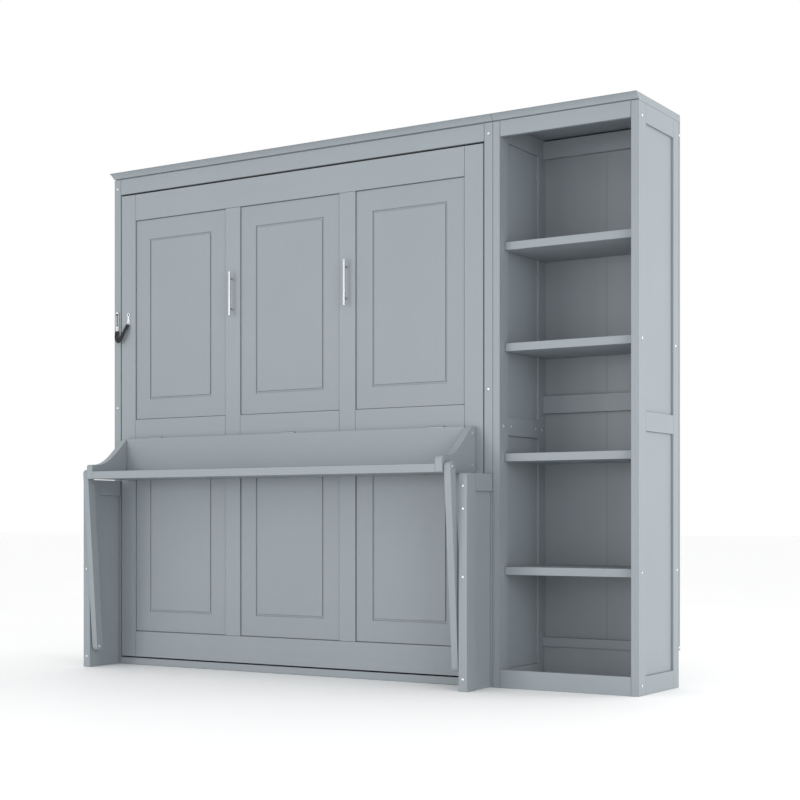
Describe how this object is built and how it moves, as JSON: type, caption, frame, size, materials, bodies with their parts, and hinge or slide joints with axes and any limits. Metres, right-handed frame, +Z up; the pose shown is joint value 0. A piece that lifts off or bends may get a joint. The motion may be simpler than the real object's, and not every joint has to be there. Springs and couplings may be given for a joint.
{
  "type": "wall bed",
  "caption": "Vertical fold-down wall bed whose panelled underside is the door, with a self-levelling desk on link arms and an attached open bookcase.",
  "frame": {"origin": "on the floor, in the middle of the object's overall width and depth (bottom centre of its bounding box)", "axes": "+X to the bookcase end (viewer's right), +Y towards the wall, +Z up; the bed is shut"},
  "size_m": [2.553, 0.6504, 2.1985],
  "materials": {
    "painted_wood": "satin blue-grey paint on boards",
    "bright_steel": "satin bright steel",
    "black_steel": "semi-gloss black paint",
    "pine": "planed unfinished softwood",
    "webbing": "black woven webbing"
  },
  "bodies": {
    "cabinet": {"bed_side_left": "painted_wood", "bed_side_right": "painted_wood", "front_wing_left": "painted_wood", "front_wing_right": "painted_wood", "bookcase_side_left": "painted_wood", "bookcase_side_right": "painted_wood", "bed_crown": "painted_wood", "bookcase_crown": "painted_wood", "bed_top_rail": "painted_wood", "bed_bottom_rail": "painted_wood", "bed_back_rail_top": "painted_wood", "bed_back_rail_bottom": "painted_wood", "bed_back_board": "painted_wood", "bookcase_top_rail": "painted_wood", "bookcase_bottom_rail": "painted_wood", "bookcase_back_rail_top": "painted_wood", "bookcase_back_rail_middle": "painted_wood", "bookcase_back_rail_bottom": "painted_wood", "bookcase_back_board_left": "painted_wood", "bookcase_back_board_right": "painted_wood", "bookcase_shelf_1": "painted_wood", "bookcase_shelf_2": "painted_wood", "bookcase_shelf_3": "painted_wood", "bookcase_shelf_4": "painted_wood", "pivot_plate_left": "bright_steel", "pivot_plate_right": "bright_steel", "strut_cylinder_left": "black_steel", "strut_cylinder_right": "black_steel"},
    "bed": {"door_stile_left": "painted_wood", "door_stile_right": "painted_wood", "door_stile_mid_left": "painted_wood", "door_stile_mid_right": "painted_wood", "door_rail_top": "painted_wood", "door_rail_bottom": "painted_wood", "door_mid_rail_left": "painted_wood", "door_mid_rail_centre": "painted_wood", "door_mid_rail_right": "painted_wood", "door_panel_left": "painted_wood", "door_panel_centre": "painted_wood", "door_panel_right": "painted_wood", "bed_frame_side_left": "painted_wood", "bed_frame_side_right": "painted_wood", "bed_frame_head": "painted_wood", "bed_frame_foot": "painted_wood", "slat_deck": "pine", "pull_handle_left": "bright_steel", "pull_handle_right": "bright_steel", "strap_latch_plate": "bright_steel", "strap_webbing": "webbing", "desk_hinge_left": "bright_steel", "desk_hinge_centre": "bright_steel", "desk_hinge_right": "bright_steel"},
    "desk": {"desk_top": "painted_wood", "desk_upstand": "painted_wood", "desk_bracket_left": "painted_wood", "desk_bracket_right": "painted_wood"},
    "link_arm_left": {"link_arm_left": "painted_wood"},
    "link_arm_right": {"link_arm_right": "painted_wood"},
    "strut_rod_left": {"strut_rod_left": "bright_steel"},
    "strut_rod_right": {"strut_rod_right": "bright_steel"}
  },
  "joints": [
    {"name": "bed_fold", "type": "hinge", "parent": "cabinet", "child": "bed", "pos_m": [-0.297, -0.01715, 0.253], "axis": [1, 0, 0], "range_deg": [0, 90], "stiffness_Nm_per_rad": 400, "springref_deg": -5.73},
    {"name": "desk_level", "type": "hinge", "parent": "bed", "child": "desk", "pos_m": [-0.297, -0.07515, 1.006], "axis": [1, 0, 0], "range_deg": [-90, 0]},
    {"name": "arm_swing_left", "type": "hinge", "parent": "cabinet", "child": "link_arm_left", "pos_m": [-1.20875, -0.23915, 0.09], "axis": [1, 0, 0], "range_deg": [0, 90]},
    {"name": "arm_swing_right", "type": "hinge", "parent": "cabinet", "child": "link_arm_right", "pos_m": [0.61475, -0.23915, 0.09], "axis": [1, 0, 0], "range_deg": [0, 90]},
    {"name": "strut_slide_left", "type": "slide", "parent": "cabinet", "child": "strut_rod_left", "axis": [0, 0, 1], "range_m": [0, 0.11]},
    {"name": "strut_slide_right", "type": "slide", "parent": "cabinet", "child": "strut_rod_right", "axis": [0, 0, 1], "range_m": [0, 0.11]}
  ],
  "couplings": [
    {"joint": "desk_level", "follows": "bed_fold", "ratio": -1},
    {"joint": "arm_swing_left", "follows": "bed_fold", "ratio": 1},
    {"joint": "arm_swing_right", "follows": "bed_fold", "ratio": 1},
    {"joint": "strut_slide_left", "follows": "bed_fold", "m_per_rad": 0.067524},
    {"joint": "strut_slide_right", "follows": "bed_fold", "m_per_rad": 0.067524}
  ]
}
